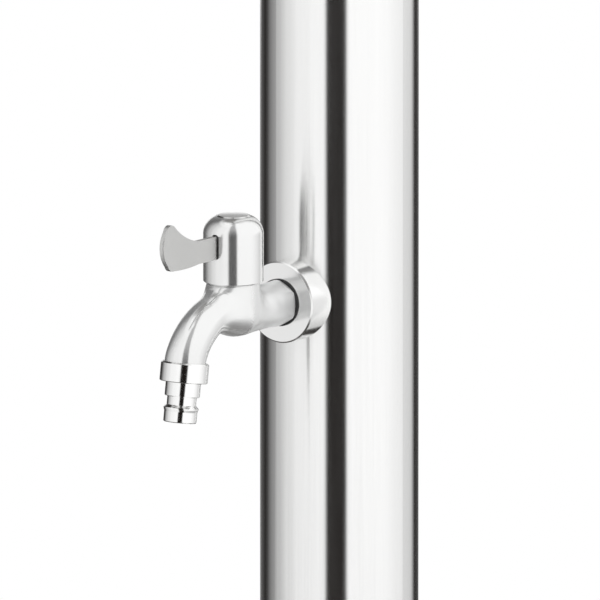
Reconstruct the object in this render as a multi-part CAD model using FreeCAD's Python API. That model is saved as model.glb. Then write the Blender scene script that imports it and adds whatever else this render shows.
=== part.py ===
"""Outdoor shower post: a steel column with a hose tap, a shower valve and a tilting rain head.

Millimetres, +Z up, origin at the centre of the base plate's underside. Everything that a user
touches faces -Y. X = 0 is the plane of symmetry.
"""
import FreeCAD
import Part
import math
import os

V = FreeCAD.Vector

# ---- heights and column ----
tap_height = 500.0
shower_height = 1100.0
column_top = 2200.0
arm_below_top = 70.0
arm_height = column_top - arm_below_top
post_r = 40.0
post_wall = 2.0
plate_r = 120.0
plate_t = 10.0
plate_edge = 1.5
anchor_circle_r = 95.0
anchor_hole_r = 5.5
anchor_count = 4
anchor_start = 45.0
socket_h = 45.0
socket_wall = 6.0
socket_screw_r = 3.0
socket_screw_count = 3
socket_screw_z = 30.0
socket_screw_start = 90.0
rosette_r = 64.0
rosette_h = 16.0
rosette_t = 1.2
rosette_lip = 6.0
rosette_flare = 8.0
rosette_waist = 0.62
cap_t = 5.0
cap_crown = 2.0
cap_web = 4.0
cap_spigot_h = 14.0
cap_spigot_wall = 3.0
cap_ring_r = 1.6

# ---- clearances ----
thread_fit = 0.05
slip_fit = 0.2
running_fit = 0.05
free_gap = 0.4

# How far a cut runs past the face that it opens.
past = 1.0

# ---- welded bosses on the column ----
boss_r = 20.75
boss_reach = 50.0
boss_edge = 0.7
boss_hole_r = 10.7
washer_t = 0.8
washer_r = 12.0
stub_r = 10.4
stub_end = 20.5

# ---- water pipes inside the column ----
riser_r = 7.5
riser_wall = 1.0
tee_r = 12.0
tee_half = 24.0
tee_branch_r = 14.0
tee_socket = 14.0
way_r = 4.5
port_r = 3.0
port_offset = 5.2
inlet_socket = 8.4
inlet_hex = 30.0
inlet_hex_h = 16.0
inlet_thread_r = 9.3
inlet_thread_len = 16.0

# ---- valve cartridge, shared by tap and shower ----
barrel_r = 13.1
barrel_top = 20.0
chamber_r = 9.5
chamber_floor = 6.5
seal_t = 1.6
seal_w = 1.8
disc_r = 8.0
disc_t = 2.4
disc_port_r = 2.2
disc_port_offset = 4.3
bush_wall = 1.4
bush_hex = 19.0
bush_hex_t = 3.0
bush_neck_r = 6.4
bush_neck_h = 3.0
window_half = 3.0
window_inset = 0.6
carrier_h = 2.0
carrier_gap = 0.1
tang_half_w = 1.3
tang_half_l = 2.9
tang_deep = 1.0
spindle_r = 4.0
spindle_top = 33.0
spindle_groove = 0.8
clip_t = 1.0
clip_w = 1.6
clip_mouth = 2.2

# ---- handle, shared by tap and shower ----
bell_r = 15.2
bell_foot = 16.7
bell_top = 50.0
bell_shoulder = 41.5
bell_crown_r = 8.8
bell_round_in = 1.95
bell_round_up = 5.2
bell_wall = 1.8
bell_roof = 3.4
roof_at_hub = 4.0
roof_at_wall = 7.5
bell_edge = 0.5
hub_r = 7.6
hub_lift = 0.5
slot_half = 2.2
slot_above = 0.8
slot_below = 0.3
slot_round = 1.9
lever_half = 1.25
lever_low = 30.0
lever_high = 41.7
lever_root = 4.6
lever_reach = 59.5
lever_flare = 11.2
lever_straight = 30.0
lever_edge = 0.4
pin_r = 1.0
pin_u = 6.1
screw_r = 2.0
screw_head_r = 3.5
screw_head_h = 2.6
screw_seat = 0.4
screw_key = 3.0
screw_key_deep = 1.56
screw_grip = 9.6
screw_drill = 11.2
button_r = 8.5
button_sink = 1.3
button_bevel = 0.7
button_rise = 0.55
button_crown = 0.35

# ---- hose tap body ----
tap_axis = 87.9
hex_across_flats = 22.0
hex_across_corners = 24.2
hex_crown = 0.06
neck_r = 11.1
neck_start = 68.0
neck_facet = 0.02
neck_swell = 0.4
neck_swell_flat = 0.35
ball_height = 1.6
spout_root_r = 9.2
spout_end_r = 10.4
spout_way_r = 6.0
spout_root_slope = 14.0
spout_bend_r = 36.0
spout_bend_slope = 61.0
spout_nose_r = 11.5
outlet_lean = 8.6
outlet_reach = 127.7
outlet_drop = 18.6
body_blend = 3.0

# ---- hose connector, along the outlet axis ----
collar_r = 12.1
collar_h = 9.9
collar_edge = 0.7
collar_lip = 1.2
spout_thread_len = 5.4
hose_washer_t = 1.5
hose_washer_inset = 0.5
tail_r = 8.85
tail_h = 7.3
tail_edge = 0.3
groove_r = 7.4
groove_h = 4.8
groove_edge = 0.5
lip_r = 8.85
lip_h = 2.8
lip_start = 0.9
lip_crest = 1.6
lip_taper = 0.1
tip_r = 8.35
tip_h = 5.5
tip_edge = 0.4
tail_bore_r = 5.5

# ---- shower valve neck ----
valve_neck = 12.0
valve_flange_w = 2.0
valve_flange_t = 3.0

# ---- arm and rain head ----
arm_r = 11.0
arm_wall = 1.5
arm_reach = 330.0
arm_bend_r = 55.0
arm_drop = 75.0
arm_way_r = 6.5
arm_nut_flats = 27.0
arm_nut_t = 8.0
arm_nut_face = 0.4
arm_nut_corner = 1.6
arm_nut_chamfer = 1.0
ball_r = 9.0
ball_stem_r = 6.0
ball_collar_h = 6.0
ball_collar_flats = 21.0
ball_thread_len = 12.0
ball_drop = 19.0
ball_way_r = 3.5
seat_t = 2.0
seat_half = 4.0
swivel_r = 15.2
swivel_top = 8.0
swivel_foot = 16.0
swivel_throat = 8.6
swivel_chamfer_h = 2.0
swivel_chamfer_w = 2.5
neck_boss_r = 12.0
head_r = 100.0
head_crown = 9.0
head_side = 11.0
head_skin = 1.2
head_round = 4.0
head_flat = 3.0
head_hub_t = 2.2
head_way_r = 5.0
dome_middle = 0.6
dome_fall = 0.42
spray_t = 1.6
spray_inset = 1.6
gasket_w = 5.0
gasket_t = 1.5
ledge_t = 2.0
ledge_weld = 0.2
nozzle_rings = 3
nozzle_pitch = 27.0
nozzle_r = 2.0
nozzle_tip_r = 1.4
nozzle_out = 2.2
nozzle_mat_t = 1.2
mat_inset = 2.0
head_screw_count = 6
head_screw_r = 1.5
head_screw_head_r = 2.4
head_screw_head_h = 1.2
head_screw_taper = 0.8
head_screw_start = 30.0

nodes = {}


def add(name, shape):
    """Keep one finished sub-part under its name."""
    nodes[name] = shape


def turned(points):
    """Solid of revolution about Z from (radius, height) points; a third value marks an arc's middle."""
    edges = []
    corners = list(points) + [points[0]]
    start = corners[0]
    middle = None
    for point in corners[1:]:
        if len(point) == 3:
            middle = point
            continue
        a = V(start[0], 0, start[1])
        b = V(point[0], 0, point[1])
        if middle is None:
            edges.append(Part.makeLine(a, b))
        else:
            edges.append(Part.Arc(a, V(middle[0], 0, middle[1]), b).toShape())
        start = point
        middle = None
    return Part.Face(Part.Wire(edges)).revolve(V(0, 0, 0), V(0, 0, 1), 360)


def crown(radius, low, rise):
    """Middle and end of an arc that is centred on the axis, from (radius, low) to the dome's top."""
    sphere_r = (radius ** 2 + rise ** 2) / (2.0 * rise)
    half = radius / 2.0
    middle = low + rise - sphere_r + math.sqrt(sphere_r ** 2 - half ** 2)
    return (half, middle, 0), (0, low + rise)


def rod(radius, low, high, x=0.0, y=0.0):
    """Upright cylinder between two heights."""
    return Part.makeCylinder(radius, high - low, V(x, y, low))


def ring(outer, inner, low, high):
    """Upright tube between two heights."""
    return turned([(inner, low), (outer, low), (outer, high), (inner, high)])


def rod_y(radius, near, far, z=0.0, x=0.0):
    """Cylinder along Y from -near to -far."""
    return Part.makeCylinder(radius, far - near, V(x, -near, z), V(0, -1, 0))


def block(x0, x1, y0, y1, z0, z1):
    """Box between corners."""
    return Part.makeBox(x1 - x0, y1 - y0, z1 - z0, V(x0, y0, z0))


def polygon_prism(flats, sides, low, high):
    """Upright prism with the given size across flats, flats facing +X and -X."""
    corner = flats / 2.0 / math.cos(math.pi / sides)
    points = []
    for k in range(sides + 1):
        angle = 2.0 * math.pi * (k + 0.5) / sides
        points.append(V(corner * math.cos(angle), corner * math.sin(angle), low))
    return Part.Face(Part.makePolygon(points)).extrude(V(0, 0, high - low))


def moved(shape, x=0.0, y=0.0, z=0.0):
    """Copy of a shape moved by the given distances."""
    copy = shape.copy()
    copy.translate(V(x, y, z))
    return copy


def turned_about_z(shape, angle):
    """Copy of a shape turned about Z."""
    copy = shape.copy()
    copy.rotate(V(0, 0, 0), V(0, 0, 1), angle)
    return copy


def placed(shape, placement):
    """Copy of a shape in another frame."""
    copy = shape.copy()
    copy.Placement = placement.multiply(copy.Placement)
    return copy


def on_circle(shape, count, start=0.0):
    """Copies of a shape spread evenly about Z."""
    return [turned_about_z(shape, start + 360.0 * k / count) for k in range(count)]


# ---- column ----

def make_base():
    """Base plate, the socket that locates the tube, its screws and the trim rosette."""
    inner_r = post_r - post_wall
    plate = turned([(0, 0), (plate_r, 0), (plate_r, plate_t - plate_edge),
                    (plate_r - plate_edge, plate_t), (0, plate_t)])
    anchor = rod(anchor_hole_r, -past, plate_t + past, x=anchor_circle_r)
    plate = plate.cut(rod(stub_r + thread_fit, -past, plate_t + past))
    for hole in on_circle(anchor, anchor_count, anchor_start):
        plate = plate.cut(hole)
    add("base_plate", plate)

    socket_r = inner_r - slip_fit
    socket = ring(socket_r, socket_r - socket_wall, plate_t, plate_t + socket_h)
    head_depth = post_wall
    axis_z = plate_t + socket_screw_z
    reach = socket_r - socket_wall
    shank = Part.makeCylinder(socket_screw_r, post_r - reach, V(reach, 0, axis_z), V(1, 0, 0))
    head = Part.makeCone(socket_screw_r, socket_screw_r + head_depth, head_depth,
                         V(post_r - head_depth, 0, axis_z), V(1, 0, 0))
    drill = Part.makeCylinder(socket_screw_r + thread_fit, post_r, V(reach - past, 0, axis_z), V(1, 0, 0))
    sink = Part.makeCone(socket_screw_r + thread_fit, socket_screw_r + head_depth + thread_fit,
                         head_depth, V(post_r - head_depth, 0, axis_z), V(1, 0, 0))
    driver = Part.makeCylinder(socket_screw_r / 2.0, head_depth, V(post_r - head_depth, 0, axis_z),
                               V(1, 0, 0))
    screw = shank.fuse(head).cut(driver)
    screw = screw.common(rod(post_r, plate_t, plate_t + socket_h))
    for hole in on_circle(drill, socket_screw_count, socket_screw_start):
        socket = socket.cut(hole)
    add("post_socket", socket)
    add("socket_screws", Part.makeCompound(on_circle(screw, socket_screw_count, socket_screw_start)))

    inner = post_r + slip_fit
    foot = rosette_r
    top = plate_t + rosette_h
    waist = plate_t + rosette_h * rosette_waist
    rosette = turned([(inner, top - rosette_t), (inner, top), (inner + rosette_lip, top),
                      (foot - rosette_flare, waist, 0), (foot, plate_t), (foot - rosette_t, plate_t),
                      (foot - rosette_flare - rosette_t, waist - rosette_t, 0),
                      (inner + rosette_lip, top - rosette_t)])
    add("foot_rosette", rosette)
    return on_circle(drill.fuse(sink), socket_screw_count, socket_screw_start)


def make_column(screw_holes):
    """Column tube with its bored openings, and the cap on top."""
    inner_r = post_r - post_wall
    tube = ring(post_r, inner_r, plate_t, column_top)
    for height in (tap_height, shower_height, arm_height):
        tube = tube.cut(rod_y(boss_hole_r, post_r * 0.5, post_r + past, height))
    for hole in screw_holes:
        tube = tube.cut(hole)
    add("post_tube", tube)

    spigot_r = inner_r - slip_fit
    groove_z = column_top - cap_spigot_h / 2.0
    web = column_top - cap_web
    cap = turned([(0, column_top), (0, web), (spigot_r - cap_spigot_wall, web),
                  (spigot_r - cap_spigot_wall, column_top - cap_spigot_h),
                  (spigot_r, column_top - cap_spigot_h),
                  (spigot_r, groove_z - cap_ring_r), (spigot_r - cap_ring_r, groove_z - cap_ring_r),
                  (spigot_r - cap_ring_r, groove_z + cap_ring_r), (spigot_r, groove_z + cap_ring_r),
                  (spigot_r, column_top), (post_r, column_top),
                  (post_r, column_top + cap_t - cap_crown),
                  *crown(post_r, column_top + cap_t - cap_crown, cap_crown)])
    add("top_cap", cap)
    add("top_cap_ring", ring(inner_r - thread_fit, spigot_r - cap_ring_r + thread_fit,
                             groove_z - cap_ring_r + thread_fit, groove_z + cap_ring_r - thread_fit))


def make_boss(name, height):
    """Round boss welded to the column, its back cut to the tube."""
    front = boss_reach
    boss = rod_y(boss_r, post_r * 0.5, front - boss_edge)
    face = Part.makeCone(boss_r, boss_r - boss_edge, boss_edge, V(0, -(front - boss_edge), 0), V(0, -1, 0))
    boss = boss.fuse(face)
    boss = boss.cut(rod(post_r, -boss_r - past, boss_r + past))
    boss = boss.cut(rod_y(boss_hole_r, 0, front + past))
    add(name + "_flange", moved(boss.removeSplitter(), z=height))
    washer = rod_y(washer_r, front, front + washer_t)
    washer = washer.cut(rod_y(stub_r + thread_fit, front - past, front + washer_t + past))
    add(name + "_washer", moved(washer, z=height))


# ---- water pipes inside the column ----

def riser(low, high):
    """Straight pipe on the column's axis."""
    return ring(riser_r, riser_r - riser_wall, low, high)


def branch_front():
    """Distance of a fitting's front face from the axis, just inside the tube's wall."""
    inner_r = post_r - post_wall
    return math.sqrt(inner_r ** 2 - tee_branch_r ** 2) - free_gap


def fitting_body():
    """Upright pipe fitting with a branch to the front, bored for the screwed stub."""
    front = branch_front()
    body = rod(tee_r, -tee_half, tee_half).fuse(rod_y(tee_branch_r, 0, front))
    return body.cut(rod_y(stub_r + thread_fit, stub_end, front + past)).removeSplitter()


def pipe_socket(low, high):
    """Bore that a riser's end fits into."""
    return rod(riser_r + thread_fit, low, high)


def make_supply():
    """Supply inlet in the base plate, risers, tap tee, shower fitting and arm elbow."""
    top = plate_t + inlet_hex_h
    stop = top - inlet_socket
    inlet = polygon_prism(inlet_hex, 6, plate_t, top).fuse(rod(stub_r, thread_fit, plate_t))
    inlet = inlet.cut(rod(inlet_thread_r, -past, inlet_thread_len))
    inlet = inlet.cut(rod(riser_r - riser_wall, 0, top))
    inlet = inlet.cut(pipe_socket(stop, top + past))
    add("supply_inlet", inlet.removeSplitter())

    inset = tee_half - tee_socket
    lower = pipe_socket(-tee_half - past, -inset)
    upper = pipe_socket(inset, tee_half + past)
    through = rod(riser_r - riser_wall, -inset - past, inset + past)

    branch = rod_y(riser_r - riser_wall, 0, stub_end + past)
    tee = fitting_body().cut(lower).cut(upper).cut(through).cut(branch)
    add("tap_tee", moved(tee, z=tap_height))

    fitting = fitting_body().cut(lower).cut(upper)
    for side in (-1, 1):
        low = min(side * port_offset, side * (inset + past))
        high = max(side * port_offset, side * (inset + past))
        fitting = fitting.cut(rod(port_r, low, high))
        fitting = fitting.cut(rod_y(port_r, 0, stub_end + past, side * port_offset))
    add("shower_fitting", moved(fitting, z=shower_height))

    elbow = fitting_body().cut(lower).cut(rod(riser_r - riser_wall, -inset - past, 0)).cut(branch)
    add("arm_elbow", moved(elbow, z=arm_height))

    add("riser_lower", riser(stop, tap_height - inset))
    add("riser_middle", riser(tap_height + inset, shower_height - inset))
    add("riser_upper", riser(shower_height + inset, arm_height - inset))


# ---- valve cartridge and handle, in the valve's own frame: turning axis Z, lever towards -Y ----

def drive(grow, low, high):
    """Flat tang that turns the moving disc, grown by a clearance."""
    half_w = tang_half_w + grow
    half_l = tang_half_l + grow
    return block(-half_w, half_w, -half_l, half_l, low, high)


def make_cartridge(name, frame):
    """Ceramic-disc cartridge: seal, two discs, bush, spindle and its retaining clip."""
    seal_top = chamber_floor + seal_t
    fixed_top = seal_top + disc_t
    moving_top = fixed_top + disc_t
    bush_r = chamber_r - thread_fit
    spindle_foot = moving_top + running_fit
    ledge = moving_top + carrier_h

    seal = ring(disc_r, disc_r - seal_w, chamber_floor, seal_top)
    add(name + "_seal", placed(seal, frame))

    port = rod(disc_port_r, 0, moving_top + past, x=disc_port_offset)
    fixed = rod(disc_r, seal_top, fixed_top)
    moving = rod(disc_r - slip_fit, fixed_top + running_fit, moving_top)
    for hole in on_circle(port, 2, 90.0):
        fixed = fixed.cut(hole)
        moving = moving.cut(hole)
    moving = moving.cut(drive(carrier_gap, moving_top - tang_deep - slip_fit, moving_top + past))
    add(name + "_fixed_disc", placed(fixed, frame))
    add(name + "_moving_disc", placed(moving, frame))

    neck_top = barrel_top + bush_hex_t + bush_neck_h
    bush = ring(bush_r, bush_r - bush_wall, seal_top, ledge)
    bush = bush.fuse(ring(bush_r, spindle_r + running_fit, ledge, barrel_top))
    bush = bush.fuse(polygon_prism(bush_hex, 6, barrel_top, barrel_top + bush_hex_t)
                     .cut(rod(spindle_r + running_fit, 0, neck_top + past)))
    bush = bush.fuse(ring(bush_neck_r, spindle_r + running_fit, barrel_top + bush_hex_t, neck_top))
    window = block(-window_half, window_half, -chamber_r - past, 0,
                   fixed_top + window_inset, ledge - window_inset)
    bush = bush.cut(window)
    add(name + "_cartridge", placed(bush.removeSplitter(), frame))

    tang = drive(0.0, moving_top - tang_deep, ledge - carrier_gap)
    carrier = rod(bush_r - bush_wall - slip_fit, spindle_foot, ledge - carrier_gap)
    spindle = carrier.fuse(tang).fuse(rod(spindle_r, spindle_foot, spindle_top))
    clip_z = neck_top + running_fit
    groove = ring(spindle_r + past, spindle_r - spindle_groove, clip_z, clip_z + clip_t)
    spindle = spindle.cut(groove)
    spindle = spindle.cut(rod(screw_r, spindle_top - screw_drill, spindle_top + past))
    add(name + "_spindle", placed(spindle.removeSplitter(), frame))

    clip_r = spindle_r + clip_w
    clip = ring(clip_r, spindle_r - spindle_groove + thread_fit,
                clip_z + thread_fit, clip_z + clip_t - thread_fit)
    clip = clip.cut(block(-clip_mouth, clip_mouth, 0, clip_r + past, clip_z - past, clip_z + clip_t + past))
    add(name + "_clip", placed(clip, frame))


def hub_foot():
    """Height of the handle hub's lower end, clear of the spindle's clip."""
    return barrel_top + bush_hex_t + bush_neck_h + clip_t + hub_lift


def lever_outline():
    """Fishtail outline of the blade in the plane X = 0: straight root, round tip and blunt crest."""
    def at(u, w):
        return V(0, -u, w)

    crest = lever_high + lever_flare
    root_low = at(lever_root, lever_low)
    waist_low = at(lever_straight, lever_low)
    belly = at(lever_reach - 17.0, lever_low - 0.9)
    heel = at(lever_reach - 9.0, lever_low - 0.6)
    heel_round = at(lever_reach - 6.2, lever_low - 0.1)
    tip_low = at(lever_reach - 4.6, lever_low + 1.5)
    tip = at(lever_reach, (lever_low + crest) / 2.0 + 0.3)
    tip_high = at(lever_reach - 3.6, crest - 1.9)
    crest_round = at(lever_reach - 5.6, crest - 0.2)
    shoulder = at(lever_reach - 9.4, crest - 0.8)
    scoop = at(lever_reach - 16.6, lever_high + lever_flare * 0.42)
    waist_high = at(lever_straight, lever_high)
    root_high = at(lever_root, lever_high)
    edges = [
        Part.makeLine(root_low, waist_low),
        Part.Arc(waist_low, belly, heel).toShape(),
        Part.Arc(heel, heel_round, tip_low).toShape(),
        Part.Arc(tip_low, tip, tip_high).toShape(),
        Part.Arc(tip_high, crest_round, shoulder).toShape(),
        Part.Arc(shoulder, scoop, waist_high).toShape(),
        Part.makeLine(waist_high, root_high),
        Part.makeLine(root_high, root_low),
    ]
    return Part.Wire(edges)


def bell_slot():
    """Opening in the bell's wall for the blade, its four corners rounded."""
    slot = block(-slot_half, slot_half, -bell_r - past, -hub_r,
                 lever_low - slot_below, lever_high + slot_above)
    corners = [edge for edge in slot.Edges if edge.BoundBox.YLength > bell_r / 2.0]
    return slot.makeFillet(slot_round, corners)


def make_handle(name, frame):
    """Bell-shaped handle with a hub, the blade lever in its slot, the cross pin, screw and button."""
    inner_r = bell_r - bell_wall
    cavity_top = bell_top - bell_roof
    recess = bell_top - button_sink
    seat = lever_high + screw_seat
    bore_r = spindle_r + running_fit
    stop = spindle_top + running_fit
    bell = turned([(inner_r, bell_foot), (bell_r - bell_edge, bell_foot), (bell_r, bell_foot + bell_edge),
                   (bell_r, bell_shoulder),
                   (bell_r - bell_round_in, bell_shoulder + bell_round_up, 0), (bell_crown_r, bell_top),
                   (button_r + 2 * thread_fit, bell_top), (button_r + 2 * thread_fit, recess),
                   (screw_head_r + slip_fit, recess), (screw_head_r + slip_fit, seat),
                   (screw_r + slip_fit, seat), (screw_r + slip_fit, stop),
                   (bore_r, stop), (bore_r, hub_foot()), (hub_r, hub_foot()),
                   (hub_r, cavity_top - roof_at_hub), (inner_r, cavity_top - roof_at_wall)])
    hub_slot = block(-lever_half - thread_fit, lever_half + thread_fit, -bell_r, -lever_root + thread_fit,
                     lever_low - thread_fit, lever_high + thread_fit)
    bell = bell.cut(bell_slot()).cut(hub_slot)
    pin_w = (lever_low + lever_high) / 2.0
    pin_half = math.sqrt(hub_r ** 2 - pin_u ** 2) - slip_fit
    pin = Part.makeCylinder(pin_r, 2 * pin_half, V(-pin_half, -pin_u, pin_w), V(1, 0, 0))
    pin_hole = Part.makeCylinder(pin_r + thread_fit, 2 * hub_r, V(-hub_r, -pin_u, pin_w), V(1, 0, 0))
    bell = bell.cut(pin_hole)
    add(name + "_handle", placed(bell, frame))

    face = Part.Face(lever_outline())
    face.translate(V(-lever_half, 0, 0))
    lever = face.extrude(V(2 * lever_half, 0, 0))
    rim = [edge for edge in lever.Edges
           if edge.BoundBox.XLength < 0.01 and edge.BoundBox.YMin < slip_fit - lever_reach]
    lever = lever.makeChamfer(lever_edge, rim)
    lever = lever.cut(pin_hole)
    add(name + "_lever", placed(lever, frame))
    add(name + "_lever_pin", placed(pin, frame))

    head_top = seat + screw_head_h
    screw = rod(screw_r - thread_fit, spindle_top - screw_grip, seat)
    screw = screw.fuse(rod(screw_head_r, seat, head_top))
    screw = screw.cut(polygon_prism(screw_key, 6, head_top - screw_key_deep, head_top + past))
    add(name + "_screw", placed(screw.removeSplitter(), frame))

    button_edge = bell_top + button_rise
    button = turned([(0, recess), (button_r, recess), (button_r, bell_top),
                     (button_r - button_bevel, button_edge),
                     *crown(button_r - button_bevel, button_edge, button_crown)])
    add(name + "_button", placed(button, frame))


# ---- hose tap ----

def rounded_hexagon(reach, flat, corner):
    """Section across Y: six flats crowned to the given half width, joined by arcs at the corner radius."""
    half = math.acos(hex_across_flats / hex_across_corners)
    edges = []
    for k in range(6):
        middle = k * math.pi / 3.0

        def point(angle, radius):
            return V(radius * math.cos(angle), -reach, radius * math.sin(angle))

        first = middle - half
        last = middle + half
        following = middle + math.pi / 3.0 - half
        corner_middle = (last + following) / 2.0
        edges.append(Part.Arc(point(first, corner), point(middle, flat), point(last, corner)).toShape())
        edges.append(Part.Arc(point(last, corner), point(corner_middle, corner),
                              point(following, corner)).toShape())
    return Part.Wire(edges)


def outlet_frame():
    """Placement of the outlet: its Z runs along the outlet axis, out of the spout."""
    turn = FreeCAD.Rotation(V(1, 0, 0), 180.0 - outlet_lean)
    return FreeCAD.Placement(V(0, -outlet_reach, tap_height - outlet_drop), turn)


def spout_route():
    """Centre line of the spout from the outlet back to the barrel: two tangent arcs and a straight."""
    def down(slope):
        return V(0, -math.cos(math.radians(slope)), -math.sin(math.radians(slope)))

    def arc_back(end, radius, steep, gentle):
        def centre_offset(slope):
            return V(0, -math.sin(math.radians(slope)), math.cos(math.radians(slope))) * radius
        middle = (steep + gentle) / 2.0
        centre = end - centre_offset(steep)
        return centre + centre_offset(middle), centre + centre_offset(gentle)

    steep = 90.0 - outlet_lean
    end = V(0, -outlet_reach, -outlet_drop)
    nose_middle, nose = arc_back(end, spout_nose_r, steep, spout_bend_slope)
    bend_middle, bend = arc_back(nose, spout_bend_r, spout_bend_slope, spout_root_slope)
    run = (-tap_axis - bend.y) / down(spout_root_slope).y
    root = bend + down(spout_root_slope) * run
    edges = [
        Part.makeLine(root, bend),
        Part.Arc(bend, bend_middle, nose).toShape(),
        Part.Arc(nose, nose_middle, end).toShape(),
    ]
    return Part.Wire(edges), root, end


def blended(body, radius):
    """Round the seams where neck and spout leave the barrel; the barrel's own rim stays sharp."""
    seams = []
    for edge in body.Edges:
        middle = edge.valueAt((edge.FirstParameter + edge.LastParameter) / 2.0)
        lift = min(0.0, middle.z - ball_height)
        off = math.sqrt(middle.x ** 2 + (middle.y + tap_axis) ** 2 + lift ** 2) - barrel_r
        if abs(off) < 0.05 and middle.z < barrel_top - 0.1:
            seams.append(edge)
    for part_of_radius in (1.0, 0.75, 0.5):
        rounded = body.makeFillet(radius * part_of_radius, seams)
        if rounded.isValid():
            return rounded
    return body


def make_tap_body():
    """Cast tap body: hexagon end, tapering neck, barrel with a round bottom and the curved spout."""
    face = boss_reach + washer_t
    flat = hex_across_flats / 2.0 + hex_crown
    corner = hex_across_corners / 2.0
    neck = Part.makeLoft([
        rounded_hexagon(face, flat, corner),
        rounded_hexagon(neck_start, neck_r - neck_facet, neck_r),
        rounded_hexagon(tap_axis, neck_r + neck_swell_flat, neck_r + neck_swell),
    ], True, False)
    barrel = rod(barrel_r, ball_height, barrel_top).fuse(Part.makeSphere(barrel_r, V(0, 0, ball_height)))
    barrel = moved(barrel.removeSplitter(), y=-tap_axis)

    route, root, end = spout_route()
    first = Part.Wire(Part.makeCircle(spout_root_r, root, route.Edges[0].tangentAt(0)))
    last_direction = V(0, -math.sin(math.radians(outlet_lean)), -math.cos(math.radians(outlet_lean)))
    last = Part.Wire(Part.makeCircle(spout_end_r, end, last_direction))
    spout = route.makePipeShell([first, last], True, True)
    thread = Part.makeCylinder(stub_r - thread_fit, spout_thread_len, end, last_direction)
    body = blended(barrel.fuse(neck).fuse(spout).removeSplitter(), body_blend)
    body = body.fuse(thread).fuse(rod_y(stub_r, stub_end + free_gap, face))

    chamber = moved(rod(chamber_r, chamber_floor, barrel_top + past), y=-tap_axis)
    port = moved(rod(way_r, 0, chamber_floor + past), y=-tap_axis)
    inlet_way = rod_y(way_r, stub_end - past, tap_axis)
    inlet_mouth = Part.makeSphere(way_r, V(0, -tap_axis, 0))
    way = Part.Wire(Part.makeCircle(spout_way_r, root, route.Edges[0].tangentAt(0)))
    outlet_way = route.makePipeShell([way], True, True)
    outlet_way = outlet_way.cut(moved(rod(chamber_r - past, -barrel_r, barrel_top), y=-tap_axis))
    outlet_end = Part.makeCylinder(spout_way_r, spout_thread_len + past, end, last_direction)
    for cavity in (chamber, port, inlet_way, inlet_mouth, outlet_way, outlet_end):
        body = body.cut(cavity)
    add("tap_body", moved(body.removeSplitter(), z=tap_height))


def make_hose_connector():
    """Collar nut, washer and the grooved hose tail, turned about the outlet axis."""
    frame = outlet_frame()
    bore = stub_r + thread_fit
    tail_start = spout_thread_len + hose_washer_t
    lip_low = collar_h - collar_lip
    collar = turned([(bore, 0), (collar_r - collar_edge, 0), (collar_r, collar_edge),
                     (collar_r, collar_h - collar_edge / 2.0), (collar_r - collar_edge / 2.0, collar_h),
                     (tail_r + thread_fit, collar_h), (tail_r + thread_fit, lip_low), (bore, lip_low)])
    add("hose_collar", placed(collar, frame))
    washer = ring(stub_r - thread_fit, tail_bore_r + hose_washer_inset, spout_thread_len, tail_start)
    add("hose_washer", placed(washer, frame))

    grip = collar_h + tail_h
    lip = grip + groove_h
    tip = lip + lip_h
    end = tip + tip_h
    tail = turned([(tail_bore_r, tail_start), (stub_r - thread_fit, tail_start),
                   (stub_r - thread_fit, lip_low - thread_fit), (tail_r, lip_low - thread_fit),
                   (tail_r, grip - tail_edge), (tail_r - tail_edge, grip), (groove_r, grip),
                   (groove_r, lip - groove_edge), (lip_r, lip + lip_start),
                   (lip_r - lip_taper, lip + lip_crest), (tip_r, tip),
                   (tip_r, end - tip_edge), (tip_r - tip_edge, end), (tail_bore_r, end)])
    add("hose_tail", placed(tail, frame))


# ---- shower valve ----

def make_shower_valve():
    """Valve neck screwed into the column's fitting; returns the frame of its cartridge and handle."""
    face = boss_reach + washer_t
    origin = face + valve_neck - bell_foot
    turn = FreeCAD.Rotation(V(1, 0, 0), 90.0)
    frame = FreeCAD.Placement(V(0, -origin, shower_height), turn)
    neck = rod_y(barrel_r, face, origin + barrel_top)
    flange = rod_y(hex_across_corners / 2.0 + valve_flange_w, face, face + valve_flange_t)
    neck = neck.fuse(flange).fuse(rod_y(stub_r, stub_end + free_gap, face))
    neck = neck.cut(rod_y(chamber_r, origin + chamber_floor, origin + barrel_top + past))
    for side in (-1, 1):
        neck = neck.cut(rod_y(port_r, stub_end - past, origin + chamber_floor + past, side * port_offset))
    add("shower_valve_neck", moved(neck.removeSplitter(), z=shower_height))
    return frame


# ---- arm and rain head ----

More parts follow.
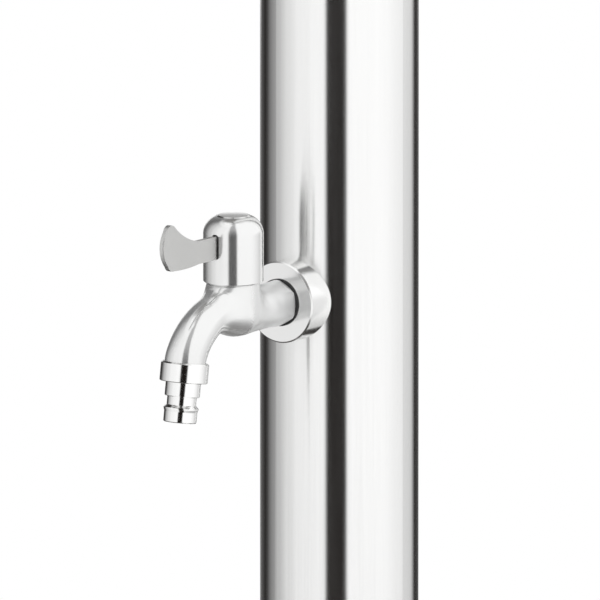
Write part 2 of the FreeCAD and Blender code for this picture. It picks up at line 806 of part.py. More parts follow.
def make_arm():
    """Bent arm screwed into the elbow through the boss, with its lock nut against the boss."""
    face = boss_reach + washer_t
    bend = arm_reach - arm_bend_r
    corner = math.sqrt(0.5) * arm_bend_r
    start = V(0, -face, 0)
    straight_end = V(0, -bend, 0)
    middle = V(0, -bend - corner, corner - arm_bend_r)
    drop_start = V(0, -arm_reach, -arm_bend_r)
    drop_end = V(0, -arm_reach, -arm_drop)
    route = Part.Wire([Part.makeLine(start, straight_end),
                       Part.Arc(straight_end, middle, drop_start).toShape(),
                       Part.makeLine(drop_start, drop_end)])
    outside = route.makePipeShell([Part.Wire(Part.makeCircle(arm_r, start, V(0, -1, 0)))], True, True)
    inside = route.makePipeShell([Part.Wire(Part.makeCircle(arm_r - arm_wall, start, V(0, -1, 0)))],
                                 True, True)
    arm = outside.fuse(rod_y(stub_r, stub_end + free_gap, face)).cut(inside)
    arm = arm.cut(rod_y(arm_way_r, stub_end - past, face + past))
    add("arm_pipe", moved(arm.removeSplitter(), z=arm_height))

    nut = polygon_prism(arm_nut_flats, 6, 0, arm_nut_t).cut(rod(arm_r + thread_fit, -past, arm_nut_t + past))
    face_r = arm_nut_flats / 2.0 + arm_nut_face
    corner_r = arm_nut_flats / 2.0 + arm_nut_corner
    cone = turned([(0, 0), (face_r, 0), (corner_r, arm_nut_chamfer),
                   (corner_r, arm_nut_t - arm_nut_chamfer), (face_r, arm_nut_t), (0, arm_nut_t)])
    nut = nut.common(cone)
    turn = FreeCAD.Placement(V(0, -face, arm_height), FreeCAD.Rotation(V(1, 0, 0), 90.0))
    add("arm_nut", placed(nut, turn))


def make_swivel(frame):
    """Ball on the arm's end, its split seat and the nut that holds the head on the ball."""
    arm_end = ball_drop
    bore = arm_r - arm_wall - thread_fit
    ball = Part.makeSphere(ball_r)
    stem = rod(ball_stem_r, 0, arm_end - ball_collar_h)
    collar = polygon_prism(ball_collar_flats, 6, arm_end - ball_collar_h, arm_end - thread_fit)
    thread_end = arm_end + ball_thread_len
    thread = rod(bore, arm_end - ball_collar_h, thread_end)
    ball = ball.fuse(stem).fuse(collar).fuse(thread).cut(rod(ball_way_r, -ball_r - past, thread_end + past))
    add("swivel_ball", placed(ball.removeSplitter(), frame))

    seat_inner = ball_r + running_fit
    seat_outer = seat_inner + seat_t
    zone = rod(seat_outer + past, -seat_half, seat_half)
    seat = Part.makeSphere(seat_outer).common(zone).cut(Part.makeSphere(seat_inner))
    add("swivel_seat", placed(seat, frame))

    socket = seat_outer + running_fit
    nut = turned([(0, -swivel_foot), (swivel_r, -swivel_foot), (swivel_r, swivel_top - swivel_chamfer_h),
                  (swivel_r - swivel_chamfer_w, swivel_top), (0, swivel_top)])
    nut = nut.cut(Part.makeSphere(socket))
    nut = nut.cut(rod(swivel_throat, 0, swivel_top + past))
    nut = nut.cut(rod(neck_boss_r + thread_fit, -swivel_foot - past, -seat_half))
    add("swivel_nut", placed(nut.removeSplitter(), frame))
    return socket


def make_head(frame, socket):
    """Domed shell with its threaded neck, gasket, nozzle mat, spray plate and screws."""
    top = -swivel_foot - running_fit
    rim = top - head_crown
    foot = rim - head_side
    inner = head_r - head_skin
    neck = rod(neck_boss_r, top - head_skin, -seat_half - free_gap).cut(Part.makeSphere(socket))
    flat = swivel_r + head_flat
    middle_r = head_r * dome_middle
    middle_z = top - head_crown * dome_fall
    bend = 1.0 - math.sqrt(0.5)
    outer_bend = head_round * bend
    inner_bend = (head_round - head_skin) * bend
    shell = turned([(0, top), (flat, top), (middle_r, middle_z, 0), (head_r - head_round, rim),
                    (head_r - outer_bend, rim - outer_bend, 0), (head_r, rim - head_round),
                    (head_r, foot), (inner, foot), (inner, rim - head_round),
                    (inner - inner_bend, rim - head_skin - inner_bend, 0),
                    (head_r - head_round, rim - head_skin), (middle_r, middle_z - head_skin, 0),
                    (flat, top - head_hub_t), (0, top - head_hub_t)])
    shell = shell.fuse(neck).cut(rod(head_way_r, foot, 0))

    plate_top = foot + spray_inset + spray_t
    plate_bottom = plate_top - spray_t
    gasket_outer = inner - thread_fit
    gasket_inner = gasket_outer - gasket_w
    ledge_low = plate_top + gasket_t
    ledge = ring(inner + ledge_weld, inner - gasket_w, ledge_low, ledge_low + ledge_t)
    screw_circle = inner - gasket_w / 2.0 - slip_fit
    shell = shell.fuse(ledge).removeSplitter()

    spray = rod(gasket_outer, plate_bottom, plate_top)
    mat = rod(gasket_inner - mat_inset, plate_top, plate_top + nozzle_mat_t)
    tips = []
    holes = []
    for count_ring in range(nozzle_rings + 1):
        count = max(1, 6 * count_ring)
        for spot in on_circle(rod(nozzle_r + thread_fit, plate_bottom - past, plate_top + past,
                                  x=count_ring * nozzle_pitch), count):
            holes.append(spot)
        tip = Part.makeCone(nozzle_r, nozzle_tip_r, spray_t + nozzle_out,
                            V(count_ring * nozzle_pitch, 0, plate_top), V(0, 0, -1))
        tips.extend(on_circle(tip, count))
    spray = spray.cut(Part.makeCompound(holes))
    mat = mat.fuse(tips)

    hole = rod(head_screw_r + thread_fit, plate_bottom - past, ledge_low + ledge_t + free_gap,
               x=screw_circle)
    gasket = ring(gasket_outer, gasket_inner, plate_top, ledge_low)
    for drill in on_circle(hole, head_screw_count, head_screw_start):
        spray = spray.cut(drill)
        gasket = gasket.cut(drill)
        shell = shell.cut(drill)
    screw = rod(head_screw_r, plate_bottom, ledge_low + ledge_t, x=screw_circle)
    screw_head = Part.makeCone(head_screw_head_r, head_screw_head_r - head_screw_taper, head_screw_head_h,
                               V(screw_circle, 0, plate_bottom), V(0, 0, -1))
    screws = on_circle(screw.fuse(screw_head).removeSplitter(), head_screw_count, head_screw_start)

    add("head_shell", placed(shell, frame))
    add("head_gasket", placed(gasket, frame))
    add("nozzle_mat", placed(mat.removeSplitter(), frame))
    add("spray_plate", placed(spray, frame))
    add("head_screws", placed(Part.makeCompound(screws), frame))


def build():
    """Make every sub-part."""
    screw_holes = make_base()
    make_column(screw_holes)
    make_supply()
    for name, height in (("tap", tap_height), ("shower", shower_height), ("arm", arm_height)):
        make_boss(name, height)

    tap_frame = FreeCAD.Placement(V(0, -tap_axis, tap_height), FreeCAD.Rotation())
    shower_frame = make_shower_valve()
    for name, frame in (("tap", tap_frame), ("shower", shower_frame)):
        make_cartridge(name, frame)
        make_handle(name, frame)
    make_tap_body()
    make_hose_connector()

    make_arm()
    head_frame = FreeCAD.Placement(V(0, -arm_reach, arm_height - arm_drop - ball_drop), FreeCAD.Rotation())
    socket = make_swivel(head_frame)
    make_head(head_frame, socket)


build()
os.makedirs("parts", exist_ok=True)
for node, solid in nodes.items():
    solid.exportStep("parts/" + node + ".step")
    print(node, "solids", len(solid.Solids), "valid", solid.isValid(), "volume", round(solid.Volume, 1))
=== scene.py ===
"""Outdoor shower post: finishes, the cast tap body, studio and camera, laid out as a Blender add-on."""

import math

import bpy
import numpy as np
from bpy.props import FloatProperty, FloatVectorProperty, PointerProperty
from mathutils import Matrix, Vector, noise


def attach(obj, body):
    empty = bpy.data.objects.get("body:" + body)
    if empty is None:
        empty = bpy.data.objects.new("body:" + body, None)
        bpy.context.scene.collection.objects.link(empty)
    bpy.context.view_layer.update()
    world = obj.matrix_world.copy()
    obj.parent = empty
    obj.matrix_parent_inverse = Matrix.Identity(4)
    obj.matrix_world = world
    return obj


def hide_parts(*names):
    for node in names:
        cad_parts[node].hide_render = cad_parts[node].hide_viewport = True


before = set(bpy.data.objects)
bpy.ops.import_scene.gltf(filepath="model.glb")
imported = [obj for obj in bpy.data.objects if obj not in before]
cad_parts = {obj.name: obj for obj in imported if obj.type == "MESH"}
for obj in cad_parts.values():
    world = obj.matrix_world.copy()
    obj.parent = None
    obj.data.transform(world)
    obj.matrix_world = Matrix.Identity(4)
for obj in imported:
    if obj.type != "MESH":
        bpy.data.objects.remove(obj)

bl_info = {
    "name": "Outdoor Shower Post",
    "version": (1, 0, 0),
    "blender": (4, 5, 0),
    "location": "View3D > Sidebar > Shower Post",
    "description": "Finishes an outdoor shower post with its taps and rain head, and sets the studio",
    "category": "Object",
}

# Metres and degrees. The column stands along Z, and its taps, arm and head point towards -Y.
TAP_HEIGHT = 0.5
SHOWER_HEIGHT = 1.1
ARM_HEIGHT = 2.13
HEAD_CENTRE = (0.0, -0.33, 2.036)

# Barrel, neck and spout of the hose tap's casting. Its heights are measured from TAP_HEIGHT.
TAP_AXIS_Y = -0.0879
BARREL_RADIUS = 0.0131
BARREL_BALL = 0.0016  # height of the middle of the barrel's round foot
BELL_FOOT = 0.0169  # height from which the bell hides the casting
BELL_FADE = 0.0018
NECK_RADIUS = 0.0113
NECK_START = -0.062  # Y up to which the hexagon end keeps its solid's shape
NECK_FADE = 0.006
SPOUT_END = (-0.1277, -0.0186)  # Y and height of the middle of the outlet
SPOUT_LEAN = 8.6  # how far the outlet leans from straight down
SPOUT_NOSE_RADIUS = 0.0115
SPOUT_NOSE_SLOPE = 61.0  # where the short bend at the outlet turns into the long one
SPOUT_BEND_RADIUS = 0.036
SPOUT_ROOT_SLOPE = 14.0
SPOUT_RADII = (0.0092, 0.0104)  # on the barrel's axis and at the outlet
BEND_STEPS = 8
SPOUT_BLEND = 0.010
NECK_BLEND = 0.006

# How the solid's skin is evened out and moved to the blended casting.
CAST_VOXEL = 0.00045
EVENING = (0.5, -0.52) * 4  # passes that shrink and grow in turn
FILL_STEPS = 3
FILL_SHARE = 0.7
FILL_DEPTH = (-0.0022, -0.0010)  # the fill comes in between these depths, so that the bores stay
CHIN = (-0.0115, -0.0060)  # and between these heights, so that the barrel's foot stays
PLAIN_PASSES = 8
PLAIN_AMOUNT = 0.5
HEXAGON = (TAP_AXIS_Y + 0.016, TAP_AXIS_Y + 0.024)  # Y over which the hexagon's rounding comes in
HEXAGON_PASSES = 14
HEXAGON_AMOUNT = 0.6
SKIN_WAVES = 130.0  # per metre
SKIN_DEPTH = 0.00004

# Y over which the casting turns from polished to satin, and over which its haze comes in.
SATIN_SPAN = (TAP_AXIS_Y - 0.020, TAP_AXIS_Y + 0.010)
HAZE_SPAN = (TAP_AXIS_Y + 0.006, TAP_AXIS_Y + 0.026)

# Which coordinates count for rings round an axis, and across which axes polishing lines lie close.
ROUND_Y = (1.0, 0.0, 1.0)
ROUND_Z = (1.0, 1.0, 0.0)
UPRIGHT_LINES = (True, True, False)
LEVEL_LINES = (False, False, True)
WAVES_ALONG_LINE = 9.0
QUARTER_TURN = 0.25  # of a full circle
FINE_BUMP = (0.1, 0.00002)  # strength and depth, as for every bump

NOISE_SPAN = (0.3, 0.7)  # where nearly all of a noise's values lie

# The dark flags: (degrees to the right of the lens, darkness) round the column.
FLAG_STOPS = (
    (-180, 0.62),
    (-152, 0.93),
    (-136, 0.99),
    (-128, 0.95),
    (-121, 0.82),
    (-100, 0.50),
    (-80, 0.27),
    (-60, 0.12),
    (-23, 0.06),
    (-16.5, 1.0),
    (7.5, 1.0),
    (13, 0.0),
    (128, 0.0),
    (140, 0.97),
    (152, 0.93),
    (180, 0.62),
)
FLAG_SIDES = 96
FLAG_FOOT = 0.002
FLAG_INNER_SHARE = 0.2  # the flags also lie on the floor, in to this share of their radius
FLAG_BLACK = (0.011, 0.009, 0.008, 1.0)
OVERHEAD_DARK = 0.68  # how dark the flag in front stays at its top, and the strip over it
OTHER_DARK = 0.45  # how dark the other flags stay at their top
HAZE_DARK = 0.50  # how dark the haze gets
# Where each part of the flags comes in, from nothing at the first value to full at the second. Turns
# are in degrees from the lens, the haze's to the right only, and the rest in metres of height.
BEHIND_TURN = (150, 164)
BAND_OPENS = (0.42, 0.5)
BAND_CLOSES = (0.9, 0.58)
HAZE_TURN = (60, 150)
HAZE_HEIGHT = (0.75, 0.42)
FRONT_TURN = (40, 24)
FRONT_FADE = (0.5, 1.9)
OTHER_FADE = (2.0, 2.45)
STRIP_HALF_WIDTH = 0.30
STRIP_BACK = 0.6
STRIP_BELOW_TOP = 0.01

FLOOR_FADE = (0.35, 1.25)
WORLD_COLOUR = (0.97, 0.985, 1.0, 1.0)
WORLD_STRENGTH = 0.75
WHITE = (1.0, 1.0, 1.0, 1.0)
# Tint of the glowing grey cards. The one under the column is painted shade in reflections.
WARM_GREY = (1.0, 0.95, 0.9)
LAMPS = (  # name, place, size, power
    ("lamp_left", (-2.6, -2.2, 2.8), 1.8, 45.0),
    ("lamp_right", (2.8, -0.6, 2.4), 1.8, 30.0),
)
LAMP_AIM = (0.0, 0.0, 0.8)
SENSOR_WIDTH = 36.0
AIM_LEFT = 0.01983  # how far the lens aims to the left of the column's axis
AIM_BELOW = 0.0063  # and how far below the hose tap's height


# ---------------------------------------------------------------- settings


def colour(name, description, default):
    """A colour property of a settings group."""
    return FloatVectorProperty(
        name=name, description=description, default=default, min=0.0, max=1.0, size=3, subtype="COLOR"
    )


def share(name, description, default):
    """A property from 0 to 1."""
    return FloatProperty(
        name=name, description=description, default=default, min=0.0, max=1.0, subtype="FACTOR"
    )


def length(name, description, default):
    """A length property in metres."""
    return FloatProperty(
        name=name,
        description=description,
        default=default,
        min=0.0,
        soft_max=10.0,
        subtype="DISTANCE",
        unit="LENGTH",
    )


def angle(name, description, degrees):
    """An angle property, given in degrees."""
    return FloatProperty(
        name=name, description=description, default=math.radians(degrees), subtype="ANGLE", unit="ROTATION"
    )


class SteelSettings(bpy.types.PropertyGroup):
    """Colours and polish of the steel pieces."""

    column_colour: colour("Column", "Colour of the polished column tube", (0.93, 0.93, 0.925))
    column_roughness: share("Column roughness", "How soft the reflections in the column are", 0.21)
    casting_colour: colour("Casting", "Colour of the satin tap body", (0.87, 0.87, 0.865))
    neck_roughness: share("Neck roughness", "How soft the reflections in the tap's neck are", 0.36)
    outlet_roughness: share("Outlet roughness", "How soft the reflections at the spout's end are", 0.14)
    bell_colour: colour("Bell", "Colour of the bell handles", (0.87, 0.87, 0.865))
    bell_roughness: share("Bell roughness", "How soft the reflections in the bells are", 0.15)
    satin_metallic: share("Satin metallic", "Below 1, a pale haze stays in dark reflections", 0.86)
    cast_metallic: share("Cast metallic", "The same for the cast tap body", 0.76)
    neck_metallic: share("Neck metallic", "The same for the tap's neck", 0.52)
    lever_colour: colour("Lever", "Colour of the blasted levers", (0.66, 0.66, 0.65))
    lever_roughness: share("Lever roughness", "How matt the levers are", 0.42)
    machined_colour: colour("Machined", "Colour of the turned collar, tail and nuts", (0.94, 0.94, 0.935))
    machined_roughness: share("Machined roughness", "How soft the turned pieces' reflections are", 0.12)
    line_spacing: length("Line spacing", "Distance between two polishing lines", 0.0009)


class SmallPartSettings(bpy.types.PropertyGroup):
    """Colours of the pieces that aren't steel."""

    brass_colour: colour("Brass", "Colour of the water fittings", (0.62, 0.44, 0.19))
    rubber_colour: colour("Rubber", "Colour of seals and washers", (0.018, 0.018, 0.019))
    silicone_colour: colour("Silicone", "Colour of the nozzle mat", (0.42, 0.43, 0.44))
    plastic_colour: colour("Plastic", "Colour of the ball seat", (0.80, 0.80, 0.77))
    ceramic_colour: colour("Ceramic", "Colour of the valve discs", (0.86, 0.85, 0.81))


class StudioSettings(bpy.types.PropertyGroup):
    """Floor, flags and camera."""

    floor_colour: colour("Floor", "Colour of the floor", (0.90, 0.90, 0.89))
    floor_half: length("Floor half width", "Half of the floor's side", 120.0)
    flag_radius: length("Flag radius", "Distance of the dark flags from the column", 1.2)
    flag_height: length("Flag height", "Height of the dark flags", 3.4)
    camera_distance: length("Camera distance", "From the column to the lens", 14.0)
    view_width: length("View width", "Width of what the camera sees at the column", 0.3024)
    reflected_white: FloatProperty(
        name="Reflected white",
        description="How bright the white studio is in the steel",
        default=1.1,
        min=0.5,
        max=2.0,
    )
    camera_azimuth: angle("Azimuth", "Angle of the camera round the column from the front", 37.25)
    camera_elevation: angle("Elevation", "Angle of the camera above the horizon", 10.84)


class ShowerPostSettings(bpy.types.PropertyGroup):
    """All settings of the shower post."""

    steel: PointerProperty(type=SteelSettings, name="Steel", description="Steel finishes")
    small: PointerProperty(type=SmallPartSettings, name="Small parts", description="Other finishes")
    studio: PointerProperty(type=StudioSettings, name="Studio", description="Floor, flags and camera")


# ---------------------------------------------------------------- node helpers


def feed(tree, value, socket):
    """Links an output to a socket, or sets the socket where the value is a plain one."""
    if isinstance(value, bpy.types.NodeSocket):
        tree.links.new(value, socket)
    else:
        socket.default_value = value


def math_result(tree, operation, *values):
    """The result of a Math node; values are outputs or numbers."""
    node = tree.nodes.new("ShaderNodeMath")
    node.operation = operation
    for socket, value in zip(node.inputs, values):
        feed(tree, value, socket)
    return node.outputs[0]


def vector_result(tree, operation, *values):
    """The result of a Vector Math node: a number for LENGTH, else a vector."""
    node = tree.nodes.new("ShaderNodeVectorMath")
    node.operation = operation
    for socket, value in zip(node.inputs, values):
        feed(tree, value, socket)
    return node.outputs["Value" if operation == "LENGTH" else "Vector"]


def ranged(tree, value, start, end, low=0.0, high=1.0, smooth=False):
    """Low at start and before, high at end and after, straight or smooth between."""
    node = tree.nodes.new("ShaderNodeMapRange")
    if smooth:
        node.interpolation_type = "SMOOTHSTEP"
    for key, given in {"From Min": start, "From Max": end, "To Min": low, "To Max": high}.items():
        feed(tree, given, node.inputs[key])
    feed(tree, value, node.inputs["Value"])
    return node.outputs["Result"]


def smooth_range(tree, value, start, end, top=1.0):
    """Nought at start, top at end, smooth between."""
    return ranged(tree, value, start, end, 0.0, top, smooth=True)


def product(tree, first, second):
    """The product of two values."""
    return math_result(tree, "MULTIPLY", first, second)


def left_over(tree, value):
    """One less the value."""
    return math_result(tree, "SUBTRACT", 1.0, value)


def either(tree, first, second):
    """Two coverings laid one over the other."""
    return left_over(tree, product(tree, left_over(tree, first), left_over(tree, second)))


def noise_value(tree, place, count, detail, roughness=0.5):
    """A noise with count waves per metre, along one line where place is a number."""
    node = tree.nodes.new("ShaderNodeTexNoise")
    on_line = place.type == "VALUE"
    if on_line:
        node.noise_dimensions = "1D"
    feed(tree, place, node.inputs["W" if on_line else "Vector"])
    feed(tree, count, node.inputs["Scale"])
    node.inputs["Detail"].default_value = detail
    node.inputs["Roughness"].default_value = roughness
    return node.outputs["Fac"]


def object_coordinates(tree):
    """The Object coordinates as one vector."""
    return tree.nodes.new("ShaderNodeTexCoord").outputs["Object"]


def object_parts(tree):
    """The Object coordinates as outputs X, Y and Z."""
    parts = tree.nodes.new("ShaderNodeSeparateXYZ")
    tree.links.new(object_coordinates(tree), parts.inputs[0])
    return parts.outputs


def shader(tree, kind, **values):
    """The output of a shader node with some of its sockets fed."""
    node = tree.nodes.new(kind)
    for key, value in values.items():
        feed(tree, value, node.inputs[key])
    return node.outputs[0]


def mixed(tree, share_of_second, first, second):
    """A mix of two shaders."""
    node = tree.nodes.new("ShaderNodeMixShader")
    for socket, value in zip(node.inputs, (share_of_second, first, second)):
        tree.links.new(value, socket)
    return node.outputs[0]


def rgba(values, factor=1.0):
    """A colour property as four values, made a little lighter or darker."""
    return tuple(min(1.0, v * factor) for v in values) + (1.0,)


# ---------------------------------------------------------------- shared node groups


def new_group(name, inputs, outputs):
    """An empty shader node group with named sockets: the tree, what it is given and what it gives."""
    tree = bpy.data.node_groups.new(name, "ShaderNodeTree")
    for label, kind, default in inputs:
        socket = tree.interface.new_socket(label, in_out="INPUT", socket_type=kind)
        if default is not None:
            socket.default_value = default
    for label, kind in outputs:
        tree.interface.new_socket(label, in_out="OUTPUT", socket_type=kind)
    return tree, tree.nodes.new("NodeGroupInput").outputs, tree.nodes.new("NodeGroupOutput").inputs


def drawn_lines(tree, given):
    """Long fine polishing lines; Stretch holds the counts per metre along x, y and z."""
    stretched = vector_result(tree, "MULTIPLY", given["Vector"], given["Stretch"])
    return noise_value(tree, stretched, 1.0, detail=3.0, roughness=0.65)


def turned_lines(tree, given):
    """Rings left by a turning tool round an axis through Centre; Keep drops the axis's own coordinate."""
    off = vector_result(tree, "SUBTRACT", given["Vector"], given["Centre"])
    flat = vector_result(tree, "MULTIPLY", off, given["Keep"])
    return noise_value(tree, vector_result(tree, "LENGTH", flat), given["Lines"], detail=2.0)


def fine_grain(tree, given):
    """Even fine grain of a blasted, cast or moulded surface."""
    return noise_value(tree, given["Vector"], given["Grains"], detail=4.0, roughness=0.6)


TEXTURES = {
    "Drawn lines": (drawn_lines, [("Stretch", "NodeSocketVector", (1100.0, 1100.0, 9.0))]),
    "Turned lines": (
        turned_lines,
        [
            ("Centre", "NodeSocketVector", (0.0, 0.0, 0.0)),
            ("Keep", "NodeSocketVector", (1.0, 1.0, 0.0)),
            ("Lines", "NodeSocketFloat", 2500.0),
        ],
    ),
    "Fine grain": (fine_grain, [("Grains", "NodeSocketFloat", 1500.0)]),
}


def texture_group(name):
    """One of TEXTURES as a group: its height, and a roughness from Low to High that follows it."""
    make_height, own_inputs = TEXTURES[name]
    tree, given, gives = new_group(
        name,
        [
            ("Vector", "NodeSocketVector", None),
            *own_inputs,
            ("Low", "NodeSocketFloat", 0.1),
            ("High", "NodeSocketFloat", 0.2),
        ],
        [("Roughness", "NodeSocketFloat"), ("Height", "NodeSocketFloat")],
    )
    height = make_height(tree, given)
    tree.links.new(ranged(tree, height, *NOISE_SPAN, given["Low"], given["High"]), gives["Roughness"])
    tree.links.new(height, gives["Height"])
    return tree


def tone_spread_group():
    """A slow drift between two near colours, in patches of the given count per metre."""
    tree, given, gives = new_group(
        "Tone spread",
        [
            ("Vector", "NodeSocketVector", None),
            ("Patches", "NodeSocketFloat", 14.0),
            ("Colour A", "NodeSocketColor", (0.8, 0.8, 0.8, 1.0)),
            ("Colour B", "NodeSocketColor", (0.78, 0.78, 0.77, 1.0)),
        ],
        [("Color", "NodeSocketColor")],
    )
    drift = noise_value(tree, given["Vector"], given["Patches"], detail=2.0)
    mix = tree.nodes.new("ShaderNodeMix")
    mix.data_type = "RGBA"
    tree.links.new(ranged(tree, drift, *NOISE_SPAN), mix.inputs[0])
    # A Mix node's two colours are its inputs 6 and 7, and the mixed colour is its output 2.
    tree.links.new(given["Colour A"], mix.inputs[6])
    tree.links.new(given["Colour B"], mix.inputs[7])
    tree.links.new(mix.outputs[2], gives["Color"])
    return tree


GROUPS = {}


def group(name):
    """The shared node group of that name, built at its first use."""
    if name not in GROUPS:
        GROUPS[name] = texture_group(name) if name in TEXTURES else tone_spread_group()
    return GROUPS[name]


def group_outputs(tree, name, values):
    """The outputs of a shared group's node with its sockets fed."""
    node = tree.nodes.new("ShaderNodeGroup")
    node.node_tree = group(name)
    for key, value in values.items():
        feed(tree, value, node.inputs[key])
    return node.outputs


# ---------------------------------------------------------------- materials


def bare_material(name):
    """A material with only its output node: the material, its tree and the surface socket."""
    made = bpy.data.materials.new(name)
    made.use_nodes = True
    made.node_tree.nodes.clear()
    return made, made.node_tree, made.node_tree.nodes.new("ShaderNodeOutputMaterial").inputs["Surface"]


def surfaced(name, tone, texture, values, bump, patches, metallic=0.0, spread=0.96):
    """A material whose colour drifts and whose roughness and bump come from one shared texture group."""
    made, tree, surface_socket = bare_material(name)
    surface = tree.nodes.new("ShaderNodeBsdfPrincipled")
    surface.inputs["Metallic"].default_value = metallic
    tree.links.new(surface.outputs["BSDF"], surface_socket)
    place = object_coordinates(tree)
    tones = {"Colour A": rgba(tone), "Colour B": rgba(tone, spread)}
    drift = group_outputs(tree, "Tone spread", {"Vector": place, "Patches": patches, **tones})
    tree.links.new(drift["Color"], surface.inputs["Base Color"])
    grain = group_outputs(tree, texture, {"Vector": place, **values})
    tree.links.new(grain["Roughness"], surface.inputs["Roughness"])
    if bump:
        relief = tree.nodes.new("ShaderNodeBump")
        relief.inputs["Strength"].default_value = bump[0]
        relief.inputs["Distance"].default_value = bump[1]
        tree.links.new(grain["Height"], relief.inputs["Height"])
        tree.links.new(relief.outputs["Normal"], surface.inputs["Normal"])
    return made


def around(middle, half):
    """Low and high roughness round a middle."""
    return {"Low": middle - half, "High": middle + half}


def steel_lines(name, tone, roughness, close_across, spacing):
    """Polished steel with fine lines along one axis or round it."""
    counts = tuple(1.0 / spacing if close else WAVES_ALONG_LINE for close in close_across)
    values = {"Stretch": counts, **around(roughness, 0.03)}
    return surfaced(name, tone, "Drawn lines", values, None, 6.0, metallic=1.0, spread=0.975)


def steel_rings(name, tone, roughness, centre, keep, bump=FINE_BUMP):
    """Turned steel with rings round an axis."""
    values = {"Centre": centre, "Keep": keep, **around(roughness, 0.04)}
    return surfaced(name, tone, "Turned lines", values, bump, 20.0, metallic=1.0)


def grained(name, tone, roughness, half, grains, bump, patches, metallic=0.0, spread=0.96):
    """An even fine grain in any stuff, with its roughness up to half above and below the given one."""
    values = {"Grains": grains, **around(roughness, half)}
    return surfaced(name, tone, "Fine grain", values, bump, patches, metallic, spread)


def steel_grain(name, tone, roughness, grains, bump, metallic=1.0):
    """Cast or blasted steel; below 1, metallic leaves a pale haze in its dark reflections."""
    return grained(name, tone, roughness, 0.04, grains, bump, 30.0, metallic)


def principled(tree):
    """The tree's Principled node."""
    return next(node for node in tree.nodes if node.type == "BSDF_PRINCIPLED")


def polish_towards_outlet(material, steel):
    """Lets the casting turn from the polished outlet to the satin, hazy neck, along Y."""
    tree = material.node_tree
    grain = next(n for n in tree.nodes if n.type == "GROUP" and n.node_tree == group("Fine grain"))
    along = object_parts(tree)["Y"]
    for key, offset in (("Low", -0.012), ("High", 0.012)):
        ends = steel.outlet_roughness + offset, steel.neck_roughness + offset
        tree.links.new(ranged(tree, along, *SATIN_SPAN, *ends), grain.inputs[key])
    haze = ranged(tree, along, *HAZE_SPAN, steel.cast_metallic, steel.neck_metallic)
    tree.links.new(haze, principled(tree).inputs["Metallic"])


def brush_round(material):
    """Draws a tube's reflections out along its length, as polishing round the tube does."""
    tree = material.node_tree
    surface = principled(tree)
    surface.inputs["Anisotropic"].default_value = 1.0
    surface.inputs["Anisotropic Rotation"].default_value = QUARTER_TURN
    direction = tree.nodes.new("ShaderNodeTangent")
    direction.direction_type = "RADIAL"
    direction.axis = "Z"
    tree.links.new(direction.outputs["Tangent"], surface.inputs["Tangent"])


def finish_nodes(material, *names):
    """Gives CAD nodes a material in their own slots."""
    for name in names:
        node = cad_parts[name]
        if not node.material_slots:
            node.data.materials.append(None)
        for held in node.material_slots:
            held.link = "OBJECT"
            held.material = material


# ---------------------------------------------------------------- the cast tap body


def relaxed(points, edges, degree, amount):
    """Moves every point part of the way to the mean of its neighbours."""
    moved = np.empty_like(points)
    for axis in range(3):
        line = points[:, axis]
        total = np.bincount(edges[:, 0], line[edges[:, 1]], len(line))
        total += np.bincount(edges[:, 1], line[edges[:, 0]], len(line))
        moved[:, axis] = line + amount * (total / degree - line)
    return moved


def smooth_step(values, start, end):
    """Nought at start, one at end, smooth between, for an array."""
    way = np.clip((values - start) / (end - start), 0.0, 1.0)
    return way * way * (3.0 - 2.0 * way)


def spout_line():
    """Centre line of the spout from the barrel's axis to the outlet: rows of Y, height and radius."""
    rows = [np.array(SPOUT_END)]
    slope = 90.0 - SPOUT_LEAN
    for radius, last in ((SPOUT_NOSE_RADIUS, SPOUT_NOSE_SLOPE), (SPOUT_BEND_RADIUS, SPOUT_ROOT_SLOPE)):
        turns = np.radians(np.linspace(slope, last, BEND_STEPS + 1))
        offsets = np.stack([-np.sin(turns), np.cos(turns)], axis=1) * radius
        middle = rows[-1] - offsets[0]
        rows += list(middle + offsets[1:])
        slope = last
    root = math.radians(SPOUT_ROOT_SLOPE)
    run = (TAP_AXIS_Y - rows[-1][0]) / math.cos(root)
    rows.append(rows[-1] + run * np.array([math.cos(root), math.sin(root)]))
    rows = np.array(rows[::-1])
    way = np.concatenate([[0.0], np.cumsum(np.hypot(*np.diff(rows, axis=0).T))])
    return np.column_stack([rows, np.interp(way, [0.0, way[-1]], SPOUT_RADII)])


def spout_distance(points):
    """How far points lie outside the spout."""
    nearest = np.full(len(points), np.inf)
    line = spout_line()
    for start, end in zip(line[:-1], line[1:]):
        along = end[:2] - start[:2]
        t = np.clip(((points[:, 1:] - start[:2]) @ along) / (along @ along), 0.0, 1.0)
        off = points[:, 1:] - start[:2] - t[:, None] * along
        radius = start[2] + t * (end[2] - start[2])
        nearest = np.minimum(nearest, np.sqrt((off**2).sum(axis=1) + points[:, 0] ** 2) - radius)
    return nearest


def joined(first, second, blend):
    """Distance outside two bodies that run into each other over the blend length."""
    close = np.maximum(blend - np.abs(first - second), 0.0) / blend
    return np.minimum(first, second) - close**2 * blend / 4.0


def fill_depth(points):
    """How far points of the solid's skin have to move out to the casting; heights from TAP_HEIGHT."""
    lift = np.minimum(points[:, 2] - BARREL_BALL, 0.0)
    barrel = np.sqrt(points[:, 0] ** 2 + (points[:, 1] - TAP_AXIS_Y) ** 2 + lift**2) - BARREL_RADIUS
    spout = spout_distance(points)
    neck = np.hypot(points[:, 0], points[:, 2]) - NECK_RADIUS
    neck = np.maximum(neck, TAP_AXIS_Y - points[:, 1])
    fill = np.maximum(-joined(joined(barrel, spout, SPOUT_BLEND), neck, NECK_BLEND), 0.0)
    fill *= smooth_step(np.minimum(np.minimum(barrel, spout), neck), *FILL_DEPTH)
    fill *= smooth_step(points[:, 2], BELL_FOOT, BELL_FOOT - BELL_FADE)
    fill *= smooth_step(points[:, 1], NECK_START, NECK_START - NECK_FADE)
    fill *= smooth_step(points[:, 2], *CHIN)
    return fill


